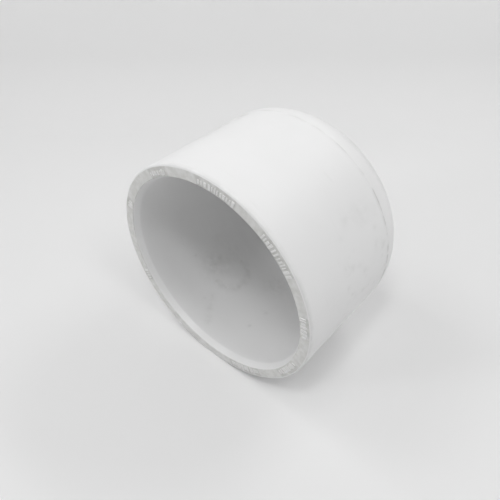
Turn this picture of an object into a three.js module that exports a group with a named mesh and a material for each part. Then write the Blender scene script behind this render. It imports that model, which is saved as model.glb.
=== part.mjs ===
// A 3-inch Schedule 40 socket pipe cap, moulded in one piece from white PVC.
//
// The cap is one body of revolution: a straight wall around a tapered pipe socket, closed at the far end by a flat
// wall that a round shoulder joins to the side. It lies on its side, as a loose cap comes to rest.
//
// Units are millimetres and +Z is up. The axis runs along +Y, from the open mouth at -Y to the closed end at +Y.
// The origin is on the surface it lies on, under the middle of its length.

import * as THREE from 'three';

// Outside
const OUTER_RADIUS = 50.8; // 4 in across, over a wall for a pipe of 88.9 mm
const OVERALL_LENGTH = 73.0;
const SHOULDER_RADIUS = 19.0; // where the side turns into the closed end
const RIM_EDGE_RADIUS = 0.8; // the rounded outer edge of the mouth

// Inside
const ENTRY_RADIUS = 44.65; // socket entrance, 89.3 mm across
const BOTTOM_RADIUS = 44.35; // socket bottom, 88.7 mm across
const SOCKET_DEPTH = 53.4; // mouth to where the socket's wall starts to turn
const LEAD_IN_WIDTH = 1.25; // radial width of the lead-in chamfer
const LEAD_IN_DEPTH = 3.0;
const FLOOR_FILLET_RADIUS = 12.5;

// Facets
const SEGMENTS = 96; // around the axis
const SHOULDER_STEPS = 8;
const FILLET_STEPS = 6;
const RIM_EDGE_STEPS = 2;

const PVC_WHITE = 0xe3e3e1;
const PVC_ROUGHNESS = 0.38;

// Points of a quarter turn about centre (radius, length), from angle start to angle end, both ends included.
function arcPoints(centreRadius, centreLength, arcRadius, start, end, steps) {
  const points = [];
  for (let step = 0; step <= steps; step += 1) {
    const angle = start + ((end - start) * step) / steps;
    const radius = centreRadius + arcRadius * Math.cos(angle);
    const length = centreLength + arcRadius * Math.sin(angle);
    points.push(new THREE.Vector2(radius, length));
  }
  return points;
}

// The half section, as (distance from the axis, distance from the mouth), from the centre of the floor inside,
// out through the mouth and back to the centre of the closed end.
function halfSection() {
  const floorDepth = SOCKET_DEPTH + FLOOR_FILLET_RADIUS;
  const floorCentre = new THREE.Vector2(0, floorDepth);
  const floorFillet = arcPoints(
    BOTTOM_RADIUS - FLOOR_FILLET_RADIUS, SOCKET_DEPTH, FLOOR_FILLET_RADIUS, Math.PI / 2, 0, FILLET_STEPS,
  );
  const socketEntry = new THREE.Vector2(ENTRY_RADIUS, LEAD_IN_DEPTH);
  const rimInnerEdge = new THREE.Vector2(ENTRY_RADIUS + LEAD_IN_WIDTH, 0);
  const rimOuterEdge = arcPoints(
    OUTER_RADIUS - RIM_EDGE_RADIUS, RIM_EDGE_RADIUS, RIM_EDGE_RADIUS, -Math.PI / 2, 0, RIM_EDGE_STEPS,
  );
  const shoulder = arcPoints(
    OUTER_RADIUS - SHOULDER_RADIUS, OVERALL_LENGTH - SHOULDER_RADIUS, SHOULDER_RADIUS, 0, Math.PI / 2, SHOULDER_STEPS,
  );
  const endCentre = new THREE.Vector2(0, OVERALL_LENGTH);
  return [floorCentre, ...floorFillet, socketEntry, rimInnerEdge, ...rimOuterEdge, ...shoulder, endCentre];
}

// The body, with a flat facet at the bottom for it to lie on. The facets are tangent to the true circles, so the
// width, the height and the clear socket are the real ones.
function capBody() {
  const halfFacet = Math.PI / SEGMENTS;
  const geometry = new THREE.LatheGeometry(halfSection(), SEGMENTS, halfFacet);
  const tangentScale = 1 / Math.cos(halfFacet);
  geometry.scale(tangentScale, 1, tangentScale);
  const material = new THREE.MeshStandardMaterial({
    color: PVC_WHITE,
    roughness: PVC_ROUGHNESS,
    metalness: 0,
  });
  const mesh = new THREE.Mesh(geometry, material);
  mesh.name = 'cap_body';
  mesh.position.set(0, -OVERALL_LENGTH / 2, OUTER_RADIUS);
  return mesh;
}

const pipeCap = new THREE.Group();
pipeCap.add(capBody());

export default pipeCap;
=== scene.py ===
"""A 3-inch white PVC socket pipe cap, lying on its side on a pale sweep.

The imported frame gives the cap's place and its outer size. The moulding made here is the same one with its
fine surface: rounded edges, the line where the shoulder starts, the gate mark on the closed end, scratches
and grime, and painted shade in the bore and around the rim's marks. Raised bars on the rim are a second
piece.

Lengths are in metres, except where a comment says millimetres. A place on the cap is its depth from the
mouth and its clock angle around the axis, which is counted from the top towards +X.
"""

import math
import random

import bmesh
import bpy
import numpy as np
from mathutils import Matrix, Vector, noise


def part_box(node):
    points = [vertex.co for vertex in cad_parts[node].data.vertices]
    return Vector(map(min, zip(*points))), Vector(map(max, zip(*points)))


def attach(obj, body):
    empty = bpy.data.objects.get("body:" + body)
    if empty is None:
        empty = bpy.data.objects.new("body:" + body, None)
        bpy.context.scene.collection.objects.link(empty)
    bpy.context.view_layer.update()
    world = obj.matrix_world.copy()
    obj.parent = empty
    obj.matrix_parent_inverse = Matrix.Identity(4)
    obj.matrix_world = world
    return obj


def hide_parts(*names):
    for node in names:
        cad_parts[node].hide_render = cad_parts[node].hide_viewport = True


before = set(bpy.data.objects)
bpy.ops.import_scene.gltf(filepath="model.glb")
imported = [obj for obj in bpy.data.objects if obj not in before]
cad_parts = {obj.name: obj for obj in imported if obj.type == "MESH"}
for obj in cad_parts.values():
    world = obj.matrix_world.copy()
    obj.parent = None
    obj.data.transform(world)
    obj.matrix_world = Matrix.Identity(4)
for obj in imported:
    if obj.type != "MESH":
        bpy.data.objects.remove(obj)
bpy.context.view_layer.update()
body_low, body_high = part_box("cap_body")

MM = 0.001
OUTER_RADIUS = (body_high.x - body_low.x) / 2
LENGTH = body_high.y - body_low.y
MOUTH_Y = body_low.y
AXIS_Z = (body_low.z + body_high.z) / 2

# The section, with the same dimensions as the CAD model.
SHOULDER_RADIUS = 19.0 * MM
SHOULDER_START = LENGTH - SHOULDER_RADIUS
ENTRY_RADIUS = 44.65 * MM
BOTTOM_RADIUS = 44.35 * MM
SOCKET_DEPTH = 53.4 * MM
LEAD_IN_WIDTH = 1.25 * MM
LEAD_IN_DEPTH = 3.0 * MM
FLOOR_FILLET_RADIUS = 12.5 * MM
RIM_EDGE_RADIUS = 0.8 * MM

# The fine surface of the moulding.
SEGMENTS = 384
POINT_SPACING = 1.4 * MM
INNER_EDGE_RADIUS = 0.3 * MM
LEAD_IN_BLEND = 2.0 * MM
SEAM_DEPTH = 0.12 * MM
SEAM_HALF_WIDTH = 0.3 * MM
GATE_RADIUS = 5.0 * MM
GATE_DEPTH = 0.5 * MM
GATE_STUB_RADIUS = 1.6 * MM
GATE_STUB_RISE = 0.35 * MM
CORE_RING_RADIUS = 22.0 * MM
CORE_RING_DEPTH = 0.15 * MM
FINE_EDGE = 0.25 * MM
RIPPLE_HEIGHT = 0.03 * MM
RIPPLE_SIZE = 14 * MM
FLOOR_FILLET_STEPS = 14
LEAD_IN_STEPS = 8
RIM_INNER_STEPS = 4
RIM_OUTER_STEPS = 6
SHOULDER_STEPS = 22
SHOULDER_FIRST_ANGLE = 1  # in degrees, past the groove

# Raised marks on the rim: groups at an even pitch, and two small ones apart. Clock angles are in degrees.
MARK_FIRST = -29.0
MARK_PITCH = 37.0
MARK_GROUP_COUNT = 6
MARK_EXTENTS = (12.0, 16.0, 20.0)
SMALL_MARKS = (-120.0, -70.0)
SMALL_MARK_EXTENT = 5.0
MARK_RADIUS = 47.7 * MM
MARK_HEIGHTS = (1.8 * MM, 2.6 * MM)
MARK_WIDTHS = (0.5 * MM, 0.7 * MM, 1.1 * MM)
MARK_GAPS = (0.5 * MM, 0.6 * MM, 0.9 * MM)
MARK_RISE = 0.26 * MM
MARK_SINK = 0.3 * MM
MARK_BEVEL = 0.09 * MM
MARK_BEVEL_STEPS = 2
MARK_DULLNESS = 0.25
GROUP_SEED = 3
MARK_SEED = 7

# The camera looks down on the cap from the front right, at a point counted from the middle of the mouth.
# The turn and the drop are in degrees, and the lens and the sensor in millimetres.
VIEW_TURN = 40.5
VIEW_DROP = 42.5
VIEW_DISTANCE = 4.2 * OUTER_RADIUS
VIEW_AIM = Vector((5.5, 19.5, 6.0)) * MM
LENS = 37.0
SENSOR = 36.0
CLIP = (0.01, 10.0)

# The backdrop and the lights stand square to the camera, so x is its right and y is away from it. The wall's
# lean is its angle to the floor, in degrees.
SWEEP_SIDE = 2.0
SWEEP_FRONT = -1.5
SWEEP_BACK = 0.18
SWEEP_BEND = 0.06
SWEEP_BEND_STEPS = 16
SWEEP_LEAN = 70.0
SWEEP_WALL = 1.2

# Soft lights: name, place, point it faces, (width, depth), power in watts. A small key light is high in
# front, strips hang over the floor in front and behind, three lights are on the left, and a panel is on
# the right.
OVER_CAP = (0.0, -0.02, 0.05)
LIGHTS = [
    ("key", (-0.1, -0.25, 0.6), OVER_CAP, (0.1, 0.1), 0.45),
    ("front_middle", (0.0, -0.25, 0.5), (0.0, -0.25, 0.0), (0.2, 0.1), 0.3),
    ("front_right", (0.2, -0.25, 0.5), (0.2, -0.25, 0.0), (0.2, 0.1), 0.5),
    ("back_left", (-0.25, 0.15, 0.45), (-0.25, 0.15, 0.0), (0.25, 0.05), 0.25),
    ("back_right", (0.25, 0.15, 0.45), (0.25, 0.15, 0.0), (0.25, 0.05), 0.5),
    ("left_top", (-0.4, -0.1, 0.5), OVER_CAP, (0.3, 0.3), 0.35),
    ("left_back", (-0.35, 0.1, 0.5), OVER_CAP, (0.1, 0.1), 0.25),
    ("left_low", (-0.5, -0.2, 0.3), OVER_CAP, (0.1, 0.1), 0.35),
    ("right_panel", (0.45, -0.1, 0.25), (0.0, -0.1, 0.25), (0.5, 0.5), 0.35),
]
AMBIENT = 0.2
BOUNCES = 12

# Colours and finish of the moulding.
PVC_COLOUR = (0.87, 0.87, 0.87)
PVC_SHADED = (0.85, 0.85, 0.85)
# The dark colour of grime, scratches and lines, and of the painted shade around the marks.
GRIME_AND_SHADE_COLOUR = (0.42, 0.42, 0.4)
RIM_COLOUR = (0.7, 0.7, 0.68)
RIM_PALE = (0.8, 0.8, 0.79)
# Painted shade: the inside of the cap is given a darker colour than the outside.
INSIDE_SHADE_COLOUR = (0.8, 0.8, 0.8)
PAPER_COLOUR = (0.84, 0.84, 0.84)
PAPER_ROUGHNESS = 0.7
PAPER_SHINE = 0.2
PVC_ROUGHNESS = 0.5
PVC_IOR = 1.45
LEAD_IN_POLISH = 0.15  # how much smoother the lead-in is
RIM_ROUGHENING = 0.12
GRIME_ROUGHENING = 0.15
UNEVEN_ROUGHNESS = 0.08
SCRATCH_TONE = 0.05
SCRATCH_GROOVE = 0.8
RIM_RELIEF = 3.0
BUMP_STRENGTH = 0.35
BUMP_DISTANCE = 0.06 * MM

# Noises of the surface: scale, noise that counts as 0, noise that counts as 1, detail
MOTTLE = (30.0, 0.35, 0.65, 3.0)
RIM_BLOTCHES = (420.0, 0.35, 0.65, 6.0)
GRIME_SPECKS = (330.0, 0.3, 0.62, 6.0)
LINE_DASHES = (150.0, 0.42, 0.6, 4.0)
FINE_GRAIN = (260.0, 0.3, 0.7, 4.0)
SCRATCHES = (90.0, 0.66, 0.74, 8.0)
SCRATCH_STRETCH = (1.0, 7.0, 1.0)

# Dirt. From here on, depths and sizes are in millimetres and clock angles in degrees.
# Grime comes in zones of scattered spots: is it inside, depths, clocks, count, sizes, strengths
GRIME_ZONES = [
    (False, (22, 53), (56, 96), 34, (0.7, 1.6), (0.06, 0.25)),
    (False, (30, 52), (50, 85), 5, (3, 7), (0.03, 0.1)),
    (False, (25, 60), (-42, -28), 5, (3, 6), (0.1, 0.2)),
    (False, (5, 65), (100, 300), 10, (4, 9), (0.08, 0.18)),
    (True, (28, 48), (-150, -126), 5, (3, 7), (0.08, 0.14)),
    (True, (38, 52), (-185, -165), 3, (5, 7), (0.05, 0.1)),
    (True, (15, 50), (-190, -110), 6, (0.6, 1.0), (0.2, 0.35)),
]
GRIME_SEED = 11
SHOULDER_GRIME = (64.0, 3.5, 0.18)  # depth, half width, strength
DRIP_TOP = (20, -154)  # a run of dirt down the bore, as (depth, clock)
DRIP_FOOT = (8, -165)
DRIP_SPOTS = 5
DRIP_SIZE = 1.6
DRIP_STRENGTH = 0.18
STAIN_PLACE = (37, -148)  # a dried ring in the bore, half of it left
STAIN_RADIUS = 10.0
STAIN_WIDTH = 1.8
STAIN_STRENGTH = 0.22
LEAD_IN_END = (2.5, 3.5)  # the bore's painted shade deepens from the first depth and is full at the second
LEAD_IN_SHADE_SHARE = 0.5  # how much of the bore's painted shade the lead-in has

# Strengths of the painted shade around the marks on the rim, of the dirt in the fine lines, and of the
# darker line on the lip.
# Painted shade on the rim face around each group of raised bars.
MARK_SHADE = 0.38
MARK_SHADE_MARGIN = 1.0  # degrees past each end of a group
SEAM_DIRT = (0.3, 0.65)  # everywhere, and added on the +X side
SEAM_FADE = 3  # a higher power keeps the added dirt nearer to +X
SEAM_WIDTH = 0.25
OUTER_EDGE_DIRT = 0.15
OUTER_EDGE = (0.9, 0.25)  # depth along the side, and width
# A darker line on the lip of the bore.
LIP_DARKENING = (0.15, 0.35)  # everywhere, and added around the clock angle
LIP_CLOCK = -65
LIP_WIDTH = 0.15
LIP_SPREAD = (1.6, 0.6)  # slope and floor of the fall away from the clock angle

# What counts as inside and as the flat rim.
INWARD = -0.2
TOWARDS_MOUTH = -0.5
INSIDE_START = 1.0
RIM_FACE_DEPTH = 0.08
RIM_FACE_MARGIN = 0.7


# Geometry of the moulding


def straight(start, end, spacing):
    """Points between the ends of a straight stretch of the section, without either end."""
    (r0, d0), (r1, d1) = start, end
    count = max(1, round(math.hypot(r1 - r0, d1 - d0) / spacing))
    return [(r0 + (r1 - r0) * i / count, d0 + (d1 - d0) * i / count) for i in range(1, count)]


def arc(centre, radius, start, end, steps):
    """Points of a round stretch of the section, with both ends. Angles are in degrees."""
    points = []
    for step in range(steps + 1):
        angle = math.radians(start + (end - start) * step / steps)
        points.append((centre[0] + radius * math.cos(angle), centre[1] + radius * math.sin(angle)))
    return points


def rounded(before, corner, after, radius, steps):
    """A corner of the section rounded to a radius: points from its first tangent point to its last."""
    to_before = (Vector(before) - Vector(corner)).normalized()
    to_after = (Vector(after) - Vector(corner)).normalized()
    half_angle = to_before.angle(to_after) / 2
    reach = radius / math.tan(half_angle)
    centre = Vector(corner) + (to_before + to_after).normalized() * (radius / math.sin(half_angle))
    first = Vector(corner) + to_before * reach - centre
    last = Vector(corner) + to_after * reach - centre
    start = math.atan2(first.y, first.x)
    turn = (math.atan2(last.y, last.x) - start + math.pi) % (2 * math.pi) - math.pi
    return arc(centre, radius, math.degrees(start), math.degrees(start + turn), steps)


def cap_outline():
    """The half section, from the middle of the floor, out through the mouth, to the middle of the end."""
    floor_depth = SOCKET_DEPTH + FLOOR_FILLET_RADIUS
    fillet_centre = (BOTTOM_RADIUS - FLOOR_FILLET_RADIUS, SOCKET_DEPTH)
    socket_bottom = (BOTTOM_RADIUS, SOCKET_DEPTH)
    socket_entry = (ENTRY_RADIUS, LEAD_IN_DEPTH)
    rim_inner = (ENTRY_RADIUS + LEAD_IN_WIDTH, 0.0)
    rim_outer = (OUTER_RADIUS, 0.0)
    shoulder_centre = (OUTER_RADIUS - SHOULDER_RADIUS, SHOULDER_START)
    ring = CORE_RING_RADIUS
    line = FINE_EDGE
    stretches = [
        [(0.0, floor_depth)],
        [(ring - line, floor_depth), (ring, floor_depth - CORE_RING_DEPTH), (ring + line, floor_depth)],
        arc(fillet_centre, FLOOR_FILLET_RADIUS, 90, 0, FLOOR_FILLET_STEPS),
        rounded(socket_bottom, socket_entry, rim_inner, LEAD_IN_BLEND, LEAD_IN_STEPS),
        rounded(socket_entry, rim_inner, rim_outer, INNER_EDGE_RADIUS, RIM_INNER_STEPS),
        rounded(rim_inner, rim_outer, (OUTER_RADIUS, LENGTH), RIM_EDGE_RADIUS, RIM_OUTER_STEPS),
        [
            (OUTER_RADIUS, SHOULDER_START - SEAM_HALF_WIDTH),
            (OUTER_RADIUS - SEAM_DEPTH, SHOULDER_START),
        ],
        arc(shoulder_centre, SHOULDER_RADIUS, SHOULDER_FIRST_ANGLE, 90, SHOULDER_STEPS),
        [(GATE_RADIUS + line, LENGTH), (GATE_RADIUS - line, LENGTH - GATE_DEPTH)],
        [
            (GATE_STUB_RADIUS + line, LENGTH - GATE_DEPTH),
            (GATE_STUB_RADIUS, LENGTH - GATE_DEPTH + GATE_STUB_RISE),
        ],
        [(0.0, LENGTH - GATE_DEPTH + GATE_STUB_RISE)],
    ]
    outline = []
    for stretch in stretches:
        if outline:
            outline += straight(outline[-1], stretch[0], POINT_SPACING)
        outline += stretch
    return outline


def on_cap(radius, depth, clock):
    """The point of the row frame at a radius and a depth, with the clock angle in radians."""
    return Vector((radius * math.sin(clock), MOUTH_Y + depth, AXIS_Z + radius * math.cos(clock)))


def mesh_object(name, verts, faces):
    mesh = bpy.data.meshes.new(name)
    mesh.from_pydata([tuple(v) for v in verts], [], faces)
    mesh.update()
    mesh.shade_smooth()
    obj = bpy.data.objects.new(name, mesh)
    bpy.context.scene.collection.objects.link(obj)
    return obj


def lathe(name, outline, segments):
    """A closed mesh turned from an outline that starts and ends on the axis."""
    verts = [on_cap(0.0, outline[0][1], 0.0), on_cap(0.0, outline[-1][1], 0.0)]
    ring = outline[1:-1]
    for radius, depth in ring:
        verts += [on_cap(radius, depth, 2 * math.pi * i / segments) for i in range(segments)]
    faces = []
    last = 2 + (len(ring) - 1) * segments
    for i in range(segments):
        j = (i + 1) % segments
        faces.append((0, 2 + j, 2 + i))
        faces.append((1, last + i, last + j))
        for start in range(2, last, segments):
            below = start + segments
            faces.append((start + i, start + j, below + j, below + i))
    return mesh_object(name, verts, faces)


def ripple(obj, height, size):
    """Moves each point of the mesh slightly along its normal, as a moulding that cooled unevenly."""
    vertices = obj.data.vertices
    moved = []
    for vertex in vertices:
        place = vertex.co + vertex.normal * height * noise.noise(vertex.co / size)
        moved.append(np.clip(place, body_low, body_high))
    vertices.foreach_set("co", np.array(moved).ravel())
    obj.data.update()


def mark_block(made, clock, width, radius, height):
    """One raised block on the rim, as a closed box that follows the rim's curve."""
    half = width / 2 / radius
    corners = []
    for depth in (-MARK_RISE, MARK_SINK):
        for r in (radius - height / 2, radius + height / 2):
            for turn in (-half, half):
                corners.append(made.verts.new(on_cap(r, depth, clock + turn)))
    for face in ((0, 1, 3, 2), (4, 6, 7, 5), (0, 4, 5, 1), (1, 5, 7, 3), (3, 7, 6, 2), (2, 6, 4, 0)):
        made.faces.new([corners[i] for i in face])


def mark_groups():
    """The middle clock angle and the extent of each group of marks."""
    chance = random.Random(GROUP_SEED)
    groups = [(MARK_FIRST + MARK_PITCH * i, chance.choice(MARK_EXTENTS)) for i in range(MARK_GROUP_COUNT)]
    return groups + [(clock, SMALL_MARK_EXTENT) for clock in SMALL_MARKS]


def rim_marks():
    """Groups of plain raised bars around the rim, in place of moulded text."""
    chance = random.Random(MARK_SEED)
    made = bmesh.new()
    for middle, extent in mark_groups():
        clock = math.radians(middle - extent / 2)
        end = math.radians(middle + extent / 2)
        while clock < end:
            width = chance.choice(MARK_WIDTHS)
            clock += width / 2 / MARK_RADIUS
            mark_block(made, clock, width, MARK_RADIUS, chance.choice(MARK_HEIGHTS))
            clock += (width / 2 + chance.choice(MARK_GAPS)) / MARK_RADIUS
    bmesh.ops.recalc_face_normals(made, faces=made.faces)
    mesh = bpy.data.meshes.new("rim_marks")
    made.to_mesh(mesh)
    made.free()
    obj = bpy.data.objects.new("rim_marks", mesh)
    bpy.context.scene.collection.objects.link(obj)
    bevel = obj.modifiers.new("soft_edges", "BEVEL")
    bevel.width = MARK_BEVEL
    bevel.segments = MARK_BEVEL_STEPS
    return obj


# Materials


def node(tree, kind, **values):
    """A new shader node, with its settings and the values of its inputs given by name."""
    made = tree.nodes.new(kind)
    for name, value in values.items():
        if name in made.inputs:
            made.inputs[name].default_value = value
        else:
            setattr(made, name, value)
    return made


def maths(tree, operation, first, second):
    made = node(tree, "ShaderNodeMath", operation=operation)
    for socket, value in zip(made.inputs, (first, second)):
        if isinstance(value, (int, float)):
            socket.default_value = value
        else:
            tree.links.new(value, socket)
    return made.outputs[0]


def noise_value(tree, coordinates, settings, stretch=(1.0, 1.0, 1.0)):
    """A noise that is stretched to 0 at its low value and 1 at its high value."""
    scale, low, high, detail = settings
    mapping = node(tree, "ShaderNodeMapping", Scale=stretch)
    tree.links.new(coordinates, mapping.inputs["Vector"])
    grain = node(tree, "ShaderNodeTexNoise", Scale=scale, Detail=detail)
    tree.links.new(mapping.outputs[0], grain.inputs["Vector"])
    remap = tree.nodes.new("ShaderNodeMapRange")
    remap.inputs["From Min"].default_value = low
    remap.inputs["From Max"].default_value = high
    tree.links.new(grain.outputs["Fac"], remap.inputs["Value"])
    return remap.outputs["Result"]


def colour_mix(tree, amount, first, second):
    made = node(tree, "ShaderNodeMix", data_type="RGBA")
    tree.links.new(amount, made.inputs[0])
    for socket, value in ((made.inputs[6], first), (made.inputs[7], second)):
        if isinstance(value, tuple):
            socket.default_value = (*value, 1.0)
        else:
            tree.links.new(value, socket)
    return made.outputs[2]


def painted(tree, name):
    return node(tree, "ShaderNodeAttribute", attribute_name=name).outputs["Fac"]


def pvc_material():
    """White PVC: faint mottling, grime in the painted places, painted shade in the bore and around the rim's
    marks, fine scratches, and a duller cut rim.
    """
    material = bpy.data.materials.new("white_pvc")
    material.use_nodes = True
    tree = material.node_tree
    shader = tree.nodes["Principled BSDF"]
    shader.inputs["IOR"].default_value = PVC_IOR
    place = node(tree, "ShaderNodeTexCoord").outputs["Object"]
    rim = painted(tree, "rim")
    blotches = noise_value(tree, place, RIM_BLOTCHES)
    scratches = noise_value(tree, place, SCRATCHES, SCRATCH_STRETCH)
    grain = noise_value(tree, place, FINE_GRAIN)
    # The grime layer holds grime and the painted shade around the rim's marks.
    grime = maths(tree, "MULTIPLY", painted(tree, "grime"), noise_value(tree, place, GRIME_SPECKS))
    # The line layer holds dirt in the fine lines and a darker line on the lip.
    line = maths(tree, "MULTIPLY", painted(tree, "line"), noise_value(tree, place, LINE_DASHES))

    colour = colour_mix(tree, noise_value(tree, place, MOTTLE), PVC_COLOUR, PVC_SHADED)
    # Painted shade: the bore is given a darker colour than the outside.
    colour = colour_mix(tree, painted(tree, "bore"), colour, INSIDE_SHADE_COLOUR)
    colour = colour_mix(tree, rim, colour, colour_mix(tree, blotches, RIM_COLOUR, RIM_PALE))
    for dark_layer in (grime, line, maths(tree, "MULTIPLY", scratches, SCRATCH_TONE)):
        colour = colour_mix(tree, dark_layer, colour, GRIME_AND_SHADE_COLOUR)
    tree.links.new(colour, shader.inputs["Base Color"])

    rough = PVC_ROUGHNESS - UNEVEN_ROUGHNESS / 2
    effects = (
        (grain, UNEVEN_ROUGHNESS),
        (rim, RIM_ROUGHENING),
        (grime, GRIME_ROUGHENING),
        (painted(tree, "lead_in"), -LEAD_IN_POLISH),
    )
    for value, amount in effects:
        rough = maths(tree, "ADD", rough, maths(tree, "MULTIPLY", value, amount))
    tree.links.new(rough, shader.inputs["Roughness"])

    rim_relief = maths(tree, "MULTIPLY", maths(tree, "MULTIPLY", rim, blotches), RIM_RELIEF)
    height = maths(tree, "ADD", grain, maths(tree, "MULTIPLY", scratches, -SCRATCH_GROOVE))
    height = maths(tree, "ADD", height, rim_relief)
    bump = node(tree, "ShaderNodeBump", Strength=BUMP_STRENGTH, Distance=BUMP_DISTANCE)
    tree.links.new(height, bump.inputs["Height"])
    tree.links.new(bump.outputs["Normal"], shader.inputs["Normal"])
    return material


class Skin:
    """Where each point of the cap's mesh is: its depth in millimetres, clock angle, radius and side."""

    def __init__(self, mesh):
        places = np.array([vertex.co for vertex in mesh.vertices])
        normals = np.array([vertex.normal for vertex in mesh.vertices])
        across = places[:, 0]
        up = places[:, 2] - AXIS_Z
        self.radius = np.hypot(across, up)
        self.depth = (places[:, 1] - MOUTH_Y) / MM
        self.clock = np.arctan2(across, up)
        outward = (normals[:, 0] * across + normals[:, 2] * up) / np.maximum(self.radius, MM)
        floor = (normals[:, 1] < TOWARDS_MOUTH) & (self.depth > INSIDE_START)
        self.inside = (outward < INWARD) | floor

    def turn_from(self, clock):
        """The angle of each point from a clock angle in degrees, between minus pi and pi."""
        return np.angle(np.exp(1j * (self.clock - math.radians(clock))))

    def distance(self, depth, clock):
        return np.hypot(self.depth - depth, self.radius / MM * self.turn_from(clock))

    def spot(self, inside, depth, clock, size):
        return (self.inside == inside) * bell(self.distance(depth, clock) / size)

    def facing(self, clock, slope, floor):
        """1 around a clock angle, falling to 0 away from it."""
        return np.clip(slope * np.cos(self.turn_from(clock)) - floor, 0, 1)


def bell(values):
    return np.exp(-(values**2))


def grime_and_mark_shade_values(skin, rim):
    """Spots, the drip and the ring in the bore, the rubbed shoulder, and painted shade around the marks."""
    chance = random.Random(GRIME_SEED)
    grime = np.zeros(len(skin.depth))
    for inside, depths, clocks, count, sizes, strengths in GRIME_ZONES:
        for _ in range(count):
            depth = chance.uniform(*depths)
            clock = chance.uniform(*clocks)
            spot = skin.spot(inside, depth, clock, chance.uniform(*sizes))
            grime += chance.uniform(*strengths) * spot
    for i in range(DRIP_SPOTS):
        depth, clock = (a + (b - a) * i / (DRIP_SPOTS - 1) for a, b in zip(DRIP_TOP, DRIP_FOOT))
        grime += DRIP_STRENGTH * skin.spot(True, depth, clock, DRIP_SIZE)
    ring = bell((skin.distance(*STAIN_PLACE) - STAIN_RADIUS) / STAIN_WIDTH)
    grime += STAIN_STRENGTH * skin.inside * (skin.turn_from(STAIN_PLACE[1]) < 0) * ring
    depth, half_width, strength = SHOULDER_GRIME
    grime += strength * ~skin.inside * bell((skin.depth - depth) / half_width)
    # Painted shade: the rim face around each group of raised bars is painted darker.
    for middle, extent in mark_groups():
        past_end = np.abs(skin.turn_from(middle)) - math.radians(extent / 2)
        grime += MARK_SHADE * rim * (past_end < math.radians(MARK_SHADE_MARGIN))
    return grime


def line_values(skin):
    """Dirt in the line at the shoulder and along the mouth's outer edge, and a darker line on the lip of the
    bore.
    """
    low, rise = SEAM_DIRT
    seam = bell((skin.depth - SHOULDER_START / MM) / SEAM_WIDTH) * ~skin.inside
    seam *= low + rise * np.clip(np.sin(skin.clock), 0, 1) ** SEAM_FADE
    edge_depth, edge_width = OUTER_EDGE
    outer_edge = (skin.depth < edge_depth) & (skin.radius > OUTER_RADIUS - edge_width * MM)
    low, rise = LIP_DARKENING
    from_lip = np.abs(skin.radius - ENTRY_RADIUS - LEAD_IN_WIDTH) / MM + np.abs(skin.depth)
    lip = (from_lip < LIP_WIDTH) * (low + rise * skin.facing(LIP_CLOCK, *LIP_SPREAD))
    return np.maximum(np.maximum(seam, OUTER_EDGE_DIRT * outer_edge), lip)


def bore_shade_values(skin):
    """How far each point is past the lead-in, used for the bore's painted shade: 0 on the lead-in and on the
    outside, and 1 in the bore.
    """
    start, full = LEAD_IN_END
    return skin.inside * np.clip((skin.depth - start) / (full - start), 0, 1)


def paint_layer(mesh, name, values):
    layer = mesh.attributes.new(name, "FLOAT", "POINT")
    layer.data.foreach_set("value", np.clip(values, 0, 1).astype(np.float32))


def paint_cap(obj):
    """Paints where the material shows grime with painted shade around the marks, the dull rim, dirty lines
    with a darker line on the lip, the painted shade of the bore, and the lead-in.
    """
    skin = Skin(obj.data)
    rim = (skin.depth < RIM_FACE_DEPTH) & (skin.radius < OUTER_RADIUS - RIM_FACE_MARGIN * MM)
    paint_layer(obj.data, "grime", grime_and_mark_shade_values(skin, rim))
    paint_layer(obj.data, "rim", rim)
    paint_layer(obj.data, "line", line_values(skin))
    # Painted shade in the bore, and part of it on the lead-in.
    bore = bore_shade_values(skin)
    lead_in = skin.inside * (1 - bore)
    paint_layer(obj.data, "bore", bore + LEAD_IN_SHADE_SHARE * lead_in)
    paint_layer(obj.data, "lead_in", lead_in)


def paper_material():
    material = bpy.data.materials.new("sweep_paper")
    material.use_nodes = True
    shader = material.node_tree.nodes["Principled BSDF"]
    shader.inputs["Base Color"].default_value = (*PAPER_COLOUR, 1.0)
    shader.inputs["Roughness"].default_value = PAPER_ROUGHNESS
    shader.inputs["Specular IOR Level"].default_value = PAPER_SHINE
    return material


# The backdrop, the lights and the camera


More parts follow.
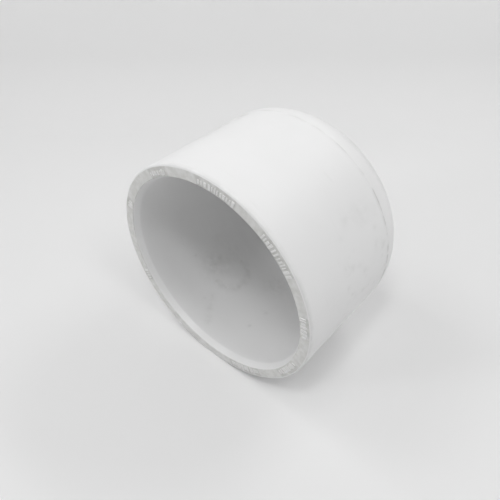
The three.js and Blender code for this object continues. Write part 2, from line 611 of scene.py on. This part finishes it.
def sweep():
    """A seamless pale floor that bends up into a wall leaning away behind the cap."""
    lean = math.radians(SWEEP_LEAN)
    profile = [(SWEEP_FRONT, 0.0)]
    for step in range(SWEEP_BEND_STEPS + 1):
        angle = lean * step / SWEEP_BEND_STEPS
        profile.append((SWEEP_BACK + SWEEP_BEND * math.sin(angle), SWEEP_BEND * (1 - math.cos(angle))))
    away, up = profile[-1]
    profile.append((away + SWEEP_WALL * math.cos(lean), up + SWEEP_WALL * math.sin(lean)))
    verts = [(side, away, up) for away, up in profile for side in (-SWEEP_SIDE, SWEEP_SIDE)]
    faces = [(i, i + 1, i + 3, i + 2) for i in range(0, len(verts) - 2, 2)]
    obj = mesh_object("sweep", verts, faces)
    obj.data.materials.append(paper_material())
    obj.rotation_euler = (0.0, 0.0, math.radians(VIEW_TURN))


def lighting():
    turn = Matrix.Rotation(math.radians(VIEW_TURN), 4, "Z")
    for name, place, target, (width, depth), power in LIGHTS:
        data = bpy.data.lights.new(name, "AREA")
        data.shape = "RECTANGLE"
        data.size = width
        data.size_y = depth
        data.energy = power
        obj = bpy.data.objects.new(name, data)
        obj.location = turn @ Vector(place)
        aim = turn @ Vector(target) - obj.location
        obj.rotation_euler = aim.to_track_quat("-Z", "Y").to_euler()
        obj.visible_camera = False
        bpy.context.scene.collection.objects.link(obj)
    world = bpy.data.worlds.new("pale_room")
    world.use_nodes = True
    background = world.node_tree.nodes["Background"]
    background.inputs["Color"].default_value = (1.0, 1.0, 1.0, 1.0)
    background.inputs["Strength"].default_value = AMBIENT
    bpy.context.scene.world = world
    bpy.context.scene.view_settings.view_transform = "Standard"
    bpy.context.scene.cycles.diffuse_bounces = BOUNCES
    bpy.context.scene.cycles.max_bounces = BOUNCES


def camera():
    data = bpy.data.cameras.new("camera")
    data.lens = LENS
    data.sensor_width = SENSOR
    data.clip_start, data.clip_end = CLIP
    obj = bpy.data.objects.new("camera", data)
    obj.rotation_euler = (math.radians(90 - VIEW_DROP), 0.0, math.radians(VIEW_TURN))
    backwards = obj.rotation_euler.to_matrix() @ Vector((0.0, 0.0, 1.0))
    obj.location = Vector((0.0, MOUTH_Y, AXIS_Z)) + VIEW_AIM + backwards * VIEW_DISTANCE
    bpy.context.scene.collection.objects.link(obj)
    bpy.context.scene.camera = obj


pvc = pvc_material()
cap = lathe("cap_shell", cap_outline(), SEGMENTS)
ripple(cap, RIPPLE_HEIGHT, RIPPLE_SIZE)
paint_cap(cap)
marks = rim_marks()
paint_layer(marks.data, "rim", np.full(len(marks.data.vertices), MARK_DULLNESS))
for piece in (cap, marks):
    piece.data.materials.append(pvc)
    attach(piece, "root")
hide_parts("cap_body")
sweep()
lighting()
camera()
